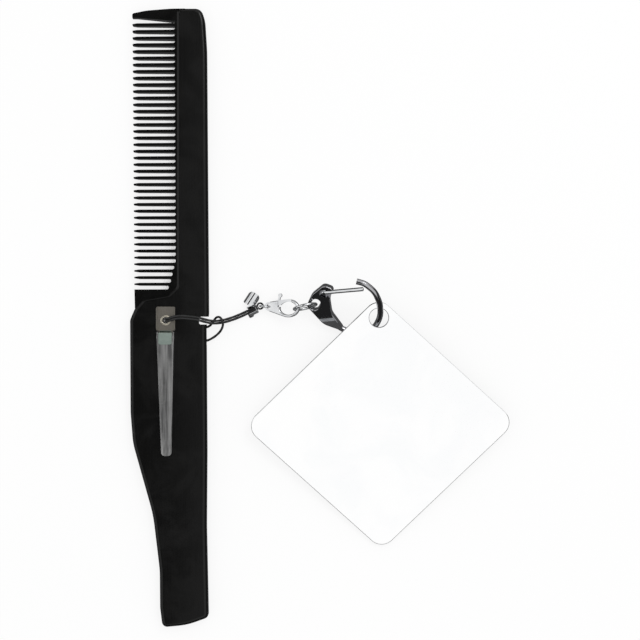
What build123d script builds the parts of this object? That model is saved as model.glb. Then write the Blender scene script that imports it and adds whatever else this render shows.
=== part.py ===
"""Pocket comb with a sprung pocket clip, and a square mirror on a cord, a clasp and a snap hook.

Millimetres, +Z up. The comb lies flat along Y with its teeth towards -X, and the mirror lies to its
right. The origin is the middle of the whole object's footprint, on the surface it lies on.
"""

import os
from math import asin, atan2, cos, degrees, pi, radians, sin, tan

from build123d import *

os.makedirs("parts", exist_ok=True)

# Comb: driving sizes
comb_length = 190.0
comb_width = 23.49
comb_thickness = 4.0
comb_spine_x = -34.41
comb_edge_round = 1.2
tooth_count = 40
tooth_pitch = 2.043
tooth_tip_width = 0.86
tooth_root_width = 0.9
tooth_point_width = 0.42
tooth_point_length = 1.4
guard_tip_rise = 0.5
guard_root_drop = 0.5
tooth_tip_thickness = 2.0
tooth_root_thickness = 3.4
first_tooth_from_top = 4.95
notch_height = 2.4
notch_depth = 2.95
notch_top_y = 0.4
notch_corner = 0.5
back_recess_depth = 1.65
back_recess_radius = 2.6
back_recess_mouth = 7.4
back_recess_mouth_y = -5.35
cut_overrun = 1.0

# Clip: driving sizes
clip_x = -47.4
clip_sheet = 0.35
clip_base_width = 5.8
clip_base_top_y = 3.45
clip_base_length = 7.3
clip_base_corner = 0.4
clip_rim_height = 1.0
clip_pin_y = -6.0
clip_pin_height = 1.15
clip_pin_radius = 0.38
clip_pin_head_radius = 0.5
clip_pin_head = 0.1
clip_ear_width = 4.3
clip_ear_radius = 0.62
clip_pin_fit = 0.02
clip_running_fit = 0.05
clip_play = 0.12
clip_tongue_length = 38.0
clip_tongue_height = 1.85
clip_tongue_foot = 0.15
clip_tongue_heel = 1.75
clip_tongue_web_inset = 3.05
clip_tongue_tip_width = 3.1
clip_tongue_tip_shift = 0.2
clip_tongue_heel_ease = 0.05
clip_tongue_tip_corner = 1.1
leaf_thickness = 0.3
leaf_width = 3.3
leaf_head_width = 4.1
leaf_length = 11.4
leaf_rise = 2.1
leaf_bend = 0.5
leaf_corner = 0.7
leaf_top_gap = 0.15

# Rivet: driving sizes
rivet_y = -0.73
rivet_bore = 1.9
rivet_wall = 0.25
rivet_flange_diameter = 3.2
rivet_flange_height = 0.35
rivet_roll_height = 0.3
rivet_roll_diameter = 3.2
rivet_edge_round = 0.15
rivet_corner = 0.04
rivet_fit = 0.05
washer_diameter = 4.2
washer_thickness = 0.3

# Cord: driving size; its route is further down
cord_diameter = 0.74

# Crimp: driving sizes
crimp_x = -21.14
crimp_y = 2.45
crimp_z = 0.5
crimp_turn = 26.0
crimp_rise = 10.0
crimp_sheet = 0.35
crimp_start = -0.9
crimp_end = 1.7
crimp_inner_width = 1.9
crimp_inner_height = 1.0
crimp_eye_reach = 1.2
crimp_eye_diameter = 2.3
crimp_eye_hole = 1.25
crimp_eye_neck = 1.5
crimp_tab_along = -0.95
crimp_tab_width = 1.5
crimp_tab_reach = 2.0
crimp_tab_corner = 0.4
crimp_flap_x = -22.3
crimp_flap_y = 3.98
crimp_flap_z = 0.5
crimp_flap_turn = 57.0
crimp_flap_radius = 1.85
crimp_flap_length = 4.3
crimp_flap_slant = 0.5
crimp_flap_corner = 1.3

# Rings: driving sizes
jump_ring_diameter = 3.6
jump_ring_wire = 0.55
jump_ring_x = -17.12
jump_ring_y = 3.58
jump_ring_z = 1.88
jump_ring_turn = -3.8
jump_ring_tilt = 95.5
link_ring_diameter = 7.8
link_ring_wire = 0.85
link_ring_x = -4.67
link_ring_y = 3.45
link_ring_z = 4.3
link_ring_turn = 12.5
link_ring_tilt = 81.5

# Clasp: driving sizes, in its own plane from the middle of the tail's hole
clasp_x = -15.8
clasp_y = 3.55
clasp_z = 1.55
clasp_rise = 15.0
clasp_thickness = 1.6
clasp_bow_x = 6.2
clasp_bow_width = 5.6
clasp_bow_length = 6.9
clasp_arm = 0.8
clasp_bow_offset = -0.55
clasp_tail_diameter = 2.7
clasp_tail_thickness = 0.8
clasp_tail_hole = 1.5
clasp_edge_round = 0.3
clasp_slot = 0.9
clasp_lever_thickness = 0.74
clasp_hub_x = 2.46
clasp_hub_y = 0.77
clasp_hub_radius = 0.75
clasp_pin_radius = 0.3
clasp_pin_fit = 0.02
clasp_running_fit = 0.05
clasp_window_reach = 1.3
clasp_window_floor = -0.15
clasp_lever_floor = 0.4
clasp_tip_gap = 0.25
clasp_knob_x = 3.54
clasp_knob_y = 3.4
clasp_knob_lean = 0.5
clasp_knob_diameter = 1.2
clasp_stalk_width = 0.6
clasp_play = 0.1
clasp_spring_gap = 0.3
clasp_spring_sheet = 0.12
clasp_spring_width = 0.6
clasp_spring_from = 200.0
clasp_spring_turn = 120.0

# Snap hook: driving sizes, in its own tilted plane
hook_x = 10.95
hook_y = -4.32
hook_turn = -19.0
hook_tilt = 40.0
hook_foot_height = 1.85
hook_width = 22.8
hook_height = 21.2
hook_body_thickness = 1.8
hook_wire = 1.8
hook_edge_round = 0.25
hook_eye_round = 0.25
hook_eye_width = 2.6
hook_eye_length = 4.5
hook_eye_turn = 82.0
gate_diameter = 1.25
gate_raise = 0.45
gate_heel = 0.75
gate_hub_radius = 0.9
gate_pin_radius = 0.4
gate_pin_fit = 0.02
gate_running_fit = 0.05
gate_play = 0.12
gate_swing = 35.0
gate_spring_sheet = 0.12
gate_spring_width = 0.8
gate_spring_from = 70.0
gate_spring_turn = 75.0

# Mirror: driving sizes
mirror_side = 57.1
mirror_hole_angle = 93.5
mirror_thickness = 1.4
mirror_corner = 4.5
mirror_hole = 5.9
mirror_hole_inset = 6.4
mirror_hole_x = 17.75
mirror_hole_y = 0.1
mirror_hole_z = 6.9
mirror_turn = 0.95
mirror_edge_break = 0.15

# Heights and places worked out from the driving sizes
comb_top_y = comb_length / 2
comb_mid_z = comb_thickness / 2
face_z = comb_thickness


def comb_point(x_share, y_share):
    """A point of the comb's outline: x from the spine in comb widths, y from the middle in lengths."""
    return (comb_spine_x - x_share * comb_width, y_share * comb_length)


# The thick part: spine and handle, as x share, y share and corner radius share of the width
slab_shares = [
    (0.4225, 0.5, 0.069),
    (0.095, 0.5, 0.108),
    (0.046, 0.4805, 0.43),
    (0.0212, 0.4316, 2.6),
    (-0.0043, 0.0047, 0.35),
    (0.028, -0.0137, 0.35),
    (0.0174, -0.2158, 2.6),
    (0.0242, -0.3368, 2.6),
    (0.0062, -0.4421, 1.3),
    (0.0, -0.4839, 0.069),
    (0.2781, -0.4963, 0.86),
    (0.6008, -0.5, 0.069),
    (0.6327, -0.4684, 0.34),
    (0.637, -0.4079, 1.3),
    (0.724, -0.3184, 1.7),
    (0.9873, -0.2026, 0.86),
    (1.0191, -0.1526, 1.3),
    (1.0255, -0.0032, 0.11),
    (0.9618, 0.0153, 0.17),
    (0.8471, 0.0311, 0.086),
    (0.5287, 0.0379, 0.065),
    (0.4225, 0.0505, 0.065),
]
# The thinner part that carries the teeth, drawn the same way
tooth_slab_shares = [
    (0.2951, 0.4995, 0.02),
    (0.4946, 0.4995, 1.7),
    (0.8131, 0.4967, 0.65),
    (0.9979, 0.4922, 0.026),
    (0.9936, 0.48, 0.17),
    (0.9675, 0.0455, 0.022),
    (0.9618, 0.0137, 0.022),
    (0.2951, 0.0137, 0.02),
]
tooth_root_top_share = 0.438
tooth_root_low_share = 0.4225
last_root_step_shares = [0.0216, 0.043, 0.0647, 0.0948]
tooth_tip_top_share = 0.9958
tooth_tip_low_share = 0.966
first_tooth_y = comb_top_y - first_tooth_from_top

# Rivet and clip heights, stacked up from the comb's face
base_z = face_z + leaf_thickness
flange_z = base_z + clip_sheet
rivet_top_z = flange_z + rivet_flange_height
washer_z = back_recess_depth - washer_thickness
roll_z = washer_z - rivet_roll_height
rivet_radius = rivet_bore / 2 + rivet_wall
rivet_clearance_radius = rivet_radius + rivet_fit
clip_pin_z = face_z + clip_pin_height
clip_base_end_y = clip_base_top_y - clip_base_length
clip_floor_end_y = clip_pin_y - clip_ear_radius - clip_base_corner
leaf_window_end_y = clip_pin_y + clip_ear_radius
clip_stack_height = clip_pin_height + 3 * clip_ear_radius
pin_half_length = clip_ear_width / 2 + clip_play + clip_sheet
rivet_roll_radius = rivet_roll_diameter / 2

# Clip tongue, worked out from the pin and the comb's face
tongue_start_y = clip_pin_y + clip_tongue_heel
tongue_foot_z = face_z + clip_tongue_foot
tongue_top_z = tongue_foot_z + clip_tongue_height
tongue_web_y = tongue_start_y - clip_tongue_web_inset
tongue_half_width = clip_ear_width / 2 + clip_play + clip_sheet
# Its side view: shares of the length from the heel, and of the height from the foot
tongue_top_shares = [
    (0.0, 0.27),
    (0.0, 0.62),
    (0.03, 1.0),
    (0.109, 1.0),
    (0.8616, 0.324),
    (0.954, 0.124),
    (1.0, 0.222),
]
tongue_foot_shares = [
    (1.0, 0.054),
    (0.954, -0.065),
    (0.8616, 0.0),
    (0.045, 0.0),
]

# Clip leaf: shares of its length from its top end, and of its rise from the comb's face
leaf_start_y = clip_base_top_y - leaf_top_gap
leaf_line_shares = [
    (0.0, 0.0),
    (0.671, 0.0),
    (0.697, 0.93),
    (0.895, 1.0),
    (1.06, 0.955),
]

# Crimp section, down the sheet's middle: shares of the inner width to the left, and of the inner height.
# It runs from the wing that is folded down over the cord, round the floor, and up the other side
crimp_section_shares = [
    (0.25, 1.79),
    (-0.42, 1.775),
    (-0.775, 1.05),
    (-0.69, 0.175),
    (0.5, 0.175),
    (0.755, 1.5),
]
crimp_bend_shares = [0.45, 0.5, 0.45, 0.55]

# Clasp: places in its own plane
clasp_hub = (clasp_hub_x, clasp_hub_y)

# Snap hook: shares of its width and height, and the body's corner radii as shares of the width
hook_body_shares = [
    (-0.746, 0.187, 0.07),
    (-0.729, 0.405, 0.25),
    (-0.617, 0.648, 0.07),
    (-0.472, 0.642, 0.05),
    (-0.484, 0.44, 0.2),
    (-0.397, 0.207, 0.2),
    (-0.18, 0.003, 0.025),
    (-0.222, -0.036, 0.03),
    (-0.45, -0.034, 0.2),
]
hook_bar_shares = [
    (-0.3509, 0.0731),
    (-0.2281, -0.0259),
    (-0.0658, -0.0330),
    (0.1096, 0.0425),
    (0.2149, 0.1981),
    (0.2346, 0.4151),
    (0.1754, 0.6368),
    (0.0439, 0.8208),
    (-0.1140, 0.8962),
    (-0.2237, 0.8844),
]
hook_eye_share = (-0.642, 0.264)
gate_pivot_share = (-0.58, 0.52)
gate_tip_share = (-0.1053, 0.8113)

# Mirror: it slopes down from its hole to its lowest corner
mirror_half_width = mirror_side * sin(radians(mirror_hole_angle / 2))
mirror_half_height = mirror_side * cos(radians(mirror_hole_angle / 2))
mirror_tip_cut = mirror_corner * (1 / sin(radians(mirror_hole_angle / 2)) - 1)
mirror_reach = 2 * mirror_half_height - mirror_hole_inset - mirror_tip_cut
mirror_slope = degrees(asin((mirror_hole_z - mirror_thickness / 2) / mirror_reach))

# The cord's loop: from the crimp over the comb's face, down the rivet, along the back, round the
# pair in a hitch, and back the same way. Each point is x, y, z
cord_route = [
    (-21.16, 2.86, 1.27),
    (-22.58, 2.15, 1.0),
    (-24.45, 1.3, 0.86),
    (-26.19, 0.55, 1.2),
    (-28.02, -0.11, 1.95),
    (-30.02, -0.69, 2.86),
    (-32.64, -1.0, 3.73),
    (-34.91, -0.59, 4.31),
    (-37.37, 0.16, 4.465),
    (-40.41, 0.52, 4.41),
    (-42.85, 0.69, 4.72),
    (-44.5, 0.5, 5.86),
    (-46.28, -0.07, 6.05),
    (-47.4, -0.35, 4.95),
    (-47.44, -0.35, 3.1),
    (-47.36, -0.35, 1.35),
    (-46.35, -0.42, 0.42),
    (-44.5, -0.68, 0.4),
    (-41.0, -1.55, 0.42),
    (-37.6, -2.62, 0.46),
    (-35.35, -3.02, 0.74),
    (-33.9, -2.3, 1.2),
    (-32.95, -0.95, 1.75),
    (-32.15, 0.1, 2.7),
    (-31.25, 0.42, 3.85),
    (-30.3, -0.15, 4.52),
    (-29.85, -1.35, 4.42),
    (-29.95, -2.65, 3.7),
    (-30.65, -3.95, 2.75),
    (-31.75, -5.1, 1.85),
    (-33.2, -6.15, 1.1),
    (-35.1, -7.1, 0.6),
    (-37.35, -7.05, 0.42),
    (-40.6, -5.05, 0.44),
    (-44.0, -2.55, 0.41),
    (-46.5, -1.13, 0.41),
    (-47.36, -1.11, 1.37),
    (-47.44, -1.11, 3.12),
    (-47.36, -1.11, 4.97),
    (-46.06, -0.79, 6.05),
    (-44.36, -0.24, 5.86),
    (-42.83, -0.07, 4.72),
    (-40.49, -0.24, 4.41),
    (-37.53, -0.58, 4.465),
    (-35.09, -1.33, 4.31),
    (-32.66, -1.76, 3.73),
    (-29.88, -1.43, 2.86),
    (-27.78, -0.83, 1.95),
    (-25.91, -0.15, 1.2),
    (-24.15, 0.6, 0.86),
    (-22.26, 1.47, 1.0),
    (-20.82, 2.18, 1.27),
]
cord_fold_share = 0.45


def cord_radii(points, share):
    """The radius at each inner point: a share of the shorter run, over the tangent of half the turn."""
    radii = []
    for before, here, after in zip(points, points[1:], points[2:]):
        run_in = Vector(*here) - Vector(*before)
        run_out = Vector(*after) - Vector(*here)
        half_turn = radians(run_in.get_angle(run_out)) / 2
        radii.append(share * min(run_in.length, run_out.length) / tan(half_turn))
    return radii


def tilted(origin, x_direction, normal):
    """A plane from its origin, its x direction and its normal."""
    return Plane(origin=origin, x_dir=x_direction, z_dir=normal)


def direction(turn, rise):
    """A unit direction: turned from +X about the vertical, then raised from the horizontal."""
    level = cos(radians(rise))
    return (level * cos(radians(turn)), level * sin(radians(turn)), sin(radians(rise)))


def along_plane(plane, reach):
    """The plane across another's x direction, at a distance along it, with the other's y as its x."""
    return Plane(origin=plane.origin + plane.x_dir * reach, x_dir=plane.y_dir, z_dir=plane.x_dir)


def mirrored_bars(gap, thickness, middle_y, depth):
    """Two bars side by side about the clip's middle, in the open sketch."""
    for side in (-1, 1):
        with Locations((clip_x + side * (gap + thickness) / 2, middle_y)):
            Rectangle(thickness, depth)


def finish(name, builder):
    """Labels a finished piece, writes it out and says how many solids it has."""
    builder.part.label = name
    export_step(builder.part, "parts/" + name + ".step")
    print(name, len(builder.part.solids()), "solid", round(builder.part.volume, 3))


# Comb body
def gap_half_widths():
    """Half widths of the gap between teeth: at their ends, where they start to narrow, at the root."""
    return (
        (tooth_pitch - tooth_point_width) / 2,
        (tooth_pitch - tooth_tip_width) / 2,
        (tooth_pitch - tooth_root_width) / 2,
    )


def tooth_gap(index):
    """One gap between two teeth, with a round root, in the open sketch."""
    along = index / tooth_count
    root_share = tooth_root_top_share + along * (tooth_root_low_share - tooth_root_top_share)
    from_last = tooth_count - index
    if from_last < len(last_root_step_shares):
        root_share += last_root_step_shares[len(last_root_step_shares) - 1 - from_last]
    tip_share = tooth_tip_top_share + along * (tooth_tip_low_share - tooth_tip_top_share)
    root_x = comb_spine_x - root_share * comb_width
    tip_x = comb_spine_x - tip_share * comb_width
    middle_y = first_tooth_y + tooth_pitch / 2 - index * tooth_pitch
    half_end, half_tip, half_root = gap_half_widths()
    upper_end = half_tip if index == 0 else half_end
    lower_end = half_tip if index == tooth_count else half_end
    upper_end += guard_tip_rise if index == 0 else 0
    upper_root = half_root - (guard_root_drop if index == 0 else 0)
    with BuildLine() as outline:
        Polyline(
            (root_x - half_root, middle_y + upper_root),
            (tip_x + tooth_point_length, middle_y + (upper_end if index == 0 else half_tip)),
            (tip_x, middle_y + upper_end),
            (tip_x - cut_overrun, middle_y + upper_end),
            (tip_x - cut_overrun, middle_y - lower_end),
            (tip_x, middle_y - lower_end),
            (tip_x + tooth_point_length, middle_y - half_tip),
            (root_x - half_root, middle_y - half_root),
        )
        ThreePointArc(
            (root_x - half_root, middle_y - half_root),
            (root_x, middle_y),
            (root_x - half_root, middle_y + upper_root),
        )
    make_face(outline.edges())


with BuildPart() as tooth_slab:
    with BuildSketch():
        with BuildLine():
            FilletPolyline(
                [comb_point(x, y) for x, y, _ in tooth_slab_shares],
                radius=[r * comb_width for _, _, r in tooth_slab_shares],
                close=True,
            )
        make_face()
        with BuildSketch(mode=Mode.SUBTRACT):
            for gap in range(tooth_count + 1):
                tooth_gap(gap)
    extrude(amount=comb_thickness)
    wedge_root_x = comb_spine_x - tooth_slab_shares[0][0] * comb_width
    wedge_tip_x = comb_spine_x - comb_width - cut_overrun
    with BuildSketch(Plane.XZ.offset(-comb_length)):
        with BuildLine():
            Polyline(
                (wedge_tip_x, comb_mid_z - tooth_tip_thickness / 2),
                (wedge_root_x, comb_mid_z - tooth_root_thickness / 2),
                (wedge_root_x, comb_mid_z + tooth_root_thickness / 2),
                (wedge_tip_x, comb_mid_z + tooth_tip_thickness / 2),
                close=True,
            )
        make_face()
    extrude(amount=2 * comb_length, mode=Mode.INTERSECT)

with BuildPart() as comb_slab:
    with BuildSketch():
        with BuildLine():
            FilletPolyline(
                [comb_point(x, y) for x, y, _ in slab_shares],
                radius=[r * comb_width for _, _, r in slab_shares],
                close=True,
            )
        make_face()
    extrude(amount=comb_thickness)
    slab_faces = comb_slab.faces().filter_by(Axis.Z)
    fillet(slab_faces.edges(), radius=comb_edge_round)

with BuildPart() as comb_body:
    add(tooth_slab.part)
    add(comb_slab.part)
    # The notch in the spine's edge that the cord lies in
    with BuildSketch():
        with Locations((comb_spine_x + (cut_overrun - notch_depth) / 2, notch_top_y - notch_height / 2)):
            RectangleRounded(notch_depth + cut_overrun, notch_height, notch_corner)
    extrude(amount=comb_thickness, mode=Mode.SUBTRACT)
    # The bore for the rivet, and the recess in the back for its rolled end and the cord
    with BuildSketch():
        with Locations((clip_x, rivet_y)):
            Circle(rivet_clearance_radius)
    extrude(amount=comb_thickness, mode=Mode.SUBTRACT)
    with BuildSketch():
        with Locations((clip_x, rivet_y)):
            Circle(back_recess_radius)
        with BuildLine():
            Polyline(
                (clip_x, rivet_y + back_recess_radius),
                (comb_spine_x + cut_overrun, back_recess_mouth_y + back_recess_mouth / 2),
                (comb_spine_x + cut_overrun, back_recess_mouth_y - back_recess_mouth / 2),
                (clip_x, rivet_y - back_recess_radius),
                close=True,
            )
        make_face()
    extrude(amount=back_recess_depth, mode=Mode.SUBTRACT)
finish("comb_body", comb_body)

# Clip base: a sheet over the leaf, two rims down to the comb, and two ears for the hinge pin
with BuildPart() as clip_base:
    with BuildSketch(Plane.XY.offset(base_z)):
        with Locations((clip_x, clip_base_top_y - clip_base_length / 2)):
            RectangleRounded(clip_base_width, clip_base_length, clip_base_corner)
        with Locations((clip_x, (clip_base_end_y + clip_floor_end_y) / 2)):
            Rectangle(clip_ear_width, clip_base_end_y - clip_floor_end_y + 2 * clip_base_corner)
        with Locations((clip_x, rivet_y)):
            Circle(rivet_clearance_radius, mode=Mode.SUBTRACT)
        # The window that the leaf comes up through
        with Locations((clip_x, (clip_base_end_y + leaf_window_end_y) / 2)):
            Rectangle(
                leaf_width + 2 * clip_play,
                clip_base_end_y - leaf_window_end_y,
                mode=Mode.SUBTRACT,
            )
    extrude(amount=clip_sheet)
    with BuildSketch(Plane.XY.offset(face_z)):
        mirrored_bars(
            clip_base_width - 2 * clip_sheet,
            clip_sheet,
            clip_base_top_y - clip_base_length / 2,
            clip_base_length - 2 * clip_base_corner,
        )
    extrude(amount=clip_rim_height)
    with BuildSketch(Plane.XY.offset(base_z)):
        mirrored_bars(clip_ear_width - 2 * clip_sheet, clip_sheet, clip_pin_y, 2 * clip_ear_radius)
    extrude(amount=clip_pin_z - base_z)
    for side in (-1, 1):
        with BuildSketch(Plane.YZ.offset(clip_x + side * (clip_ear_width - clip_sheet) / 2)):
            with Locations((clip_pin_y, clip_pin_z)):
                Circle(clip_ear_radius)
        extrude(amount=clip_sheet / 2, both=True)
    with BuildSketch(Plane.YZ.offset(clip_x)):
        with Locations((clip_pin_y, clip_pin_z)):
            Circle(clip_pin_radius + clip_pin_fit)
    extrude(amount=clip_base_width, both=True, mode=Mode.SUBTRACT)
finish("clip_base", clip_base)

# Clip spring: a leaf flat under the base, bent up through its window and over the pin
with BuildPart() as clip_spring:
    with BuildSketch(Plane.YZ.offset(clip_x - leaf_head_width / 2)):
        with BuildLine():
            FilletPolyline(
                [(leaf_start_y - y * leaf_length, face_z + z * leaf_rise) for y, z in leaf_line_shares],
                radius=leaf_bend,
            )
            offset(amount=leaf_thickness, side=Side.RIGHT)
        make_face()
    extrude(amount=leaf_head_width)
    with BuildSketch(Plane.XY.offset(face_z)):
        with Locations((clip_x, leaf_start_y - leaf_length / 2)):
            RectangleRounded(leaf_head_width, leaf_length, leaf_corner)
    extrude(amount=clip_stack_height, mode=Mode.INTERSECT)
    # The narrower part below the head, between the ears
    with BuildSketch(Plane.XY.offset(face_z)):
        mirrored_bars(leaf_width, leaf_head_width, leaf_start_y - leaf_length / 2, leaf_length)
    extrude(amount=clip_pin_height + clip_ear_radius + clip_running_fit, mode=Mode.SUBTRACT)
    with BuildSketch(Plane.XY.offset(face_z)):
        with Locations((clip_x, rivet_y)):
            Circle(rivet_clearance_radius)
    extrude(amount=clip_rim_height, mode=Mode.SUBTRACT)
finish("clip_spring", clip_spring)


# Clip tongue: a tapered channel on the pin, with a turned-up tip that grips the comb's face
def tongue_plan(half_start, half_end, end_y, corner):
    """The tongue's tapered plan, with a round tip, in the open sketch."""
    with BuildLine() as outline:
        FilletPolyline(
            [
                (clip_x - clip_tongue_heel_ease - half_start, tongue_start_y + cut_overrun),
                (clip_x + clip_tongue_tip_shift - half_end, end_y),
                (clip_x + clip_tongue_tip_shift + half_end, end_y),
                (clip_x + clip_tongue_heel_ease + half_start, tongue_start_y + cut_overrun),
            ],
            radius=corner,
            close=False,
        )
        Line(outline.line @ 1, outline.line @ 0)
    make_face(outline.edges())


def tongue_side(y_share, z_share, drop=0):
    """A point of the tongue's side view, let down by the given drop."""
    return (
        tongue_start_y - y_share * clip_tongue_length,
        tongue_foot_z + z_share * clip_tongue_height - drop,
    )


with BuildPart() as tongue_core:
    with BuildSketch(Plane.YZ.offset(clip_x - clip_base_width)):
        with BuildLine():
            Polyline(
                (tongue_start_y + cut_overrun, face_z),
                (tongue_start_y + cut_overrun, tongue_top_z + cut_overrun),
                (tongue_web_y, tongue_top_z + cut_overrun),
                (tongue_web_y, tongue_top_z - clip_sheet),
                *[tongue_side(y, z, clip_sheet) for y, z in tongue_top_shares[3:6]],
                (tongue_side(*tongue_top_shares[5])[0], face_z),
                close=True,
            )
        make_face()
    extrude(amount=2 * clip_base_width)
    with BuildSketch(Plane.XY.offset(face_z)):
        tongue_plan(
            tongue_half_width - clip_sheet,
            clip_tongue_tip_width / 2 - clip_sheet,
            tongue_start_y - clip_tongue_length,
            clip_sheet,
        )
    extrude(amount=clip_stack_height, mode=Mode.INTERSECT)

with BuildPart() as clip_tongue:
    with BuildSketch(Plane.YZ.offset(clip_x - clip_base_width)):
        with BuildLine():
            Polyline(
                *[tongue_side(y, z) for y, z in tongue_top_shares],
                *[tongue_side(y, z) for y, z in tongue_foot_shares],
                close=True,
            )
        make_face()
    extrude(amount=2 * clip_base_width)
    with BuildSketch(Plane.XY.offset(face_z)):
        tongue_plan(
            tongue_half_width,
            clip_tongue_tip_width / 2,
            tongue_start_y - clip_tongue_length,
            clip_tongue_tip_corner,
        )
    extrude(amount=clip_stack_height, mode=Mode.INTERSECT)
    add(tongue_core.part, mode=Mode.SUBTRACT)
    with BuildSketch(Plane.YZ.offset(clip_x)):
        with Locations((clip_pin_y, clip_pin_z)):
            Circle(clip_pin_radius + clip_running_fit)
    extrude(amount=clip_base_width, both=True, mode=Mode.SUBTRACT)
finish("clip_tongue", clip_tongue)

# Clip pin: a plain pin with a peened head at each end
with BuildPart() as clip_pin:
    with BuildSketch(Plane.YZ.offset(clip_x)):
        with Locations((clip_pin_y, clip_pin_z)):
            Circle(clip_pin_radius)
    extrude(amount=pin_half_length, both=True)
    for side in (-1, 1):
        with BuildSketch(Plane.YZ.offset(clip_x + side * pin_half_length)):
            with Locations((clip_pin_y, clip_pin_z)):
                Circle(clip_pin_head_radius)
        extrude(amount=side * clip_pin_head)
finish("clip_pin", clip_pin)

# Eyelet: a hollow rivet with a flange on the clip and a rolled end in the back's recess
with BuildPart() as eyelet:
    with BuildSketch(tilted((clip_x, rivet_y, 0), (1, 0, 0), (0, -1, 0))):
        with BuildLine():
            FilletPolyline(
                [
                    (rivet_bore / 2, roll_z),
                    (rivet_bore / 2, rivet_top_z),
                    (rivet_flange_diameter / 2, rivet_top_z),
                    (rivet_flange_diameter / 2, flange_z),
                    (rivet_radius, flange_z),
                    (rivet_radius, washer_z),
                    (rivet_roll_radius, washer_z),
                    (rivet_roll_radius, roll_z),
                ],
                radius=[
                    rivet_edge_round,
                    rivet_edge_round,
                    rivet_edge_round,
                    rivet_corner,
                    rivet_corner,
                    rivet_corner,
                    rivet_corner,
                    rivet_edge_round,
                ],
                close=True,
            )
        make_face()
    revolve(axis=Axis((clip_x, rivet_y, 0), (0, 0, 1)))
finish("eyelet", eyelet)

with BuildPart() as eyelet_washer:
    with BuildSketch(Plane.XY.offset(washer_z)):
        with Locations((clip_x, rivet_y)):
            Circle(washer_diameter / 2)
            Circle(rivet_clearance_radius, mode=Mode.SUBTRACT)
    extrude(amount=washer_thickness)
finish("eyelet_washer", eyelet_washer)

# Cord: one length, both ends in the crimp
fold_radii = cord_radii(cord_route, cord_fold_share)
with BuildPart() as cord:
    with BuildLine() as cord_line:
        FilletPolyline(cord_route, radius=fold_radii)
    with BuildSketch(Plane(origin=cord_line.line @ 0, z_dir=cord_line.line % 0)):
        Circle(cord_diameter / 2)
    sweep()
finish("cord", cord)
cord_length = sum(edge.length for edge in cord_line.edges())
cord_section = pi * cord_diameter**2 / 4
print("cord length", cord_length, "volume share", cord.part.volume / (cord_section * cord_length))
print("cord fold radii", [round(radius, 2) for radius in fold_radii])

# Cord crimp: a folded sheet, one wing closed on the cord and one bent out in a half round, with a
# tab below the cord and an eye at its end
crimp_plane = tilted(
    (crimp_x, crimp_y, crimp_z),
    direction(crimp_turn, crimp_rise),
    direction(crimp_turn, crimp_rise + 90),
)
flap_plane = tilted(
    (crimp_flap_x, crimp_flap_y, crimp_flap_z),
    direction(crimp_flap_turn, 0),
    (0, 0, 1),
)


def crimp_section_points(points):
    """Points across the crimp, from shares of its inner width and height."""
    return [(v * crimp_inner_width, w * crimp_inner_height) for v, w in points]


# The half round of the flap, cut to its outline
with BuildPart() as crimp_flap:
    with BuildSketch(along_plane(flap_plane, 0)):
        Circle(crimp_flap_radius)
        Circle(crimp_flap_radius - crimp_sheet, mode=Mode.SUBTRACT)
        with Locations((0, -crimp_flap_radius)):
            Rectangle(2 * crimp_flap_radius, 2 * crimp_flap_radius, mode=Mode.SUBTRACT)
    extrude(amount=crimp_flap_length)
    with BuildSketch(flap_plane):
        with BuildLine():
            FilletPolyline(
                [
                    (crimp_flap_slant, -crimp_flap_radius),
                    (crimp_flap_length, -crimp_flap_radius),
                    (crimp_flap_length, crimp_flap_radius),
                    (0, crimp_flap_radius),
                    (0, -crimp_flap_slant),
                ],
                radius=[
                    crimp_tab_corner,
                    crimp_flap_corner,
                    crimp_flap_corner,
                    crimp_tab_corner,
                    crimp_tab_corner,
                ],
                close=True,
            )
        make_face()
    extrude(amount=crimp_flap_radius, mode=Mode.INTERSECT)

with BuildPart() as cord_crimp:
    with BuildSketch(along_plane(crimp_plane, crimp_start)):
        with BuildLine():
            FilletPolyline(
                crimp_section_points(crimp_section_shares),
                radius=[r * crimp_inner_height for r in crimp_bend_shares],
            )
        trace(line_width=crimp_sheet)
    extrude(amount=crimp_end - crimp_start)
    with BuildSketch(crimp_plane):
        with Locations((crimp_end + crimp_eye_reach, 0)):
            Circle(crimp_eye_diameter / 2)
        with Locations((crimp_end + (crimp_eye_reach - crimp_sheet) / 2, 0)):
            Rectangle(crimp_eye_reach + crimp_sheet, crimp_eye_neck)
        with Locations((crimp_end + crimp_eye_reach, 0)):
            Circle(crimp_eye_hole / 2, mode=Mode.SUBTRACT)
        with Locations((crimp_tab_along, -crimp_tab_reach / 2)):
            RectangleRounded(crimp_tab_width, crimp_tab_reach, crimp_tab_corner)
    extrude(amount=crimp_sheet)
    add(crimp_flap.part)
finish("cord_crimp", cord_crimp)

# Jump ring: upright, through the crimp's eye and the clasp's tail
jump_ring_plane = tilted(
    (jump_ring_x, jump_ring_y, jump_ring_z),
    direction(jump_ring_turn, 0),
    direction(jump_ring_turn - 90, 90 - jump_ring_tilt),
)
with BuildPart(jump_ring_plane) as jump_ring:
    Torus((jump_ring_diameter - jump_ring_wire) / 2, jump_ring_wire / 2)
finish("jump_ring", jump_ring)

# Clasp body: a drop-shaped hook with a tail hole and a window that the lever closes
clasp_plane = tilted(
    (clasp_x, clasp_y, clasp_z),
    direction(0, clasp_rise),
    direction(0, clasp_rise + 90),
)
clasp_window_start = clasp_hub[0] + clasp_hub_radius - clasp_spring_gap
clasp_window_end = clasp_bow_x + clasp_window_reach
clasp_window_middle = (
    (clasp_window_start + clasp_window_end) / 2,
    clasp_window_floor + clasp_bow_width / 2,
)
clasp_lever_middle = (
    (clasp_hub[0] + clasp_window_end - clasp_tip_gap) / 2,
    clasp_lever_floor + clasp_bow_width / 2,
)


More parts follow.
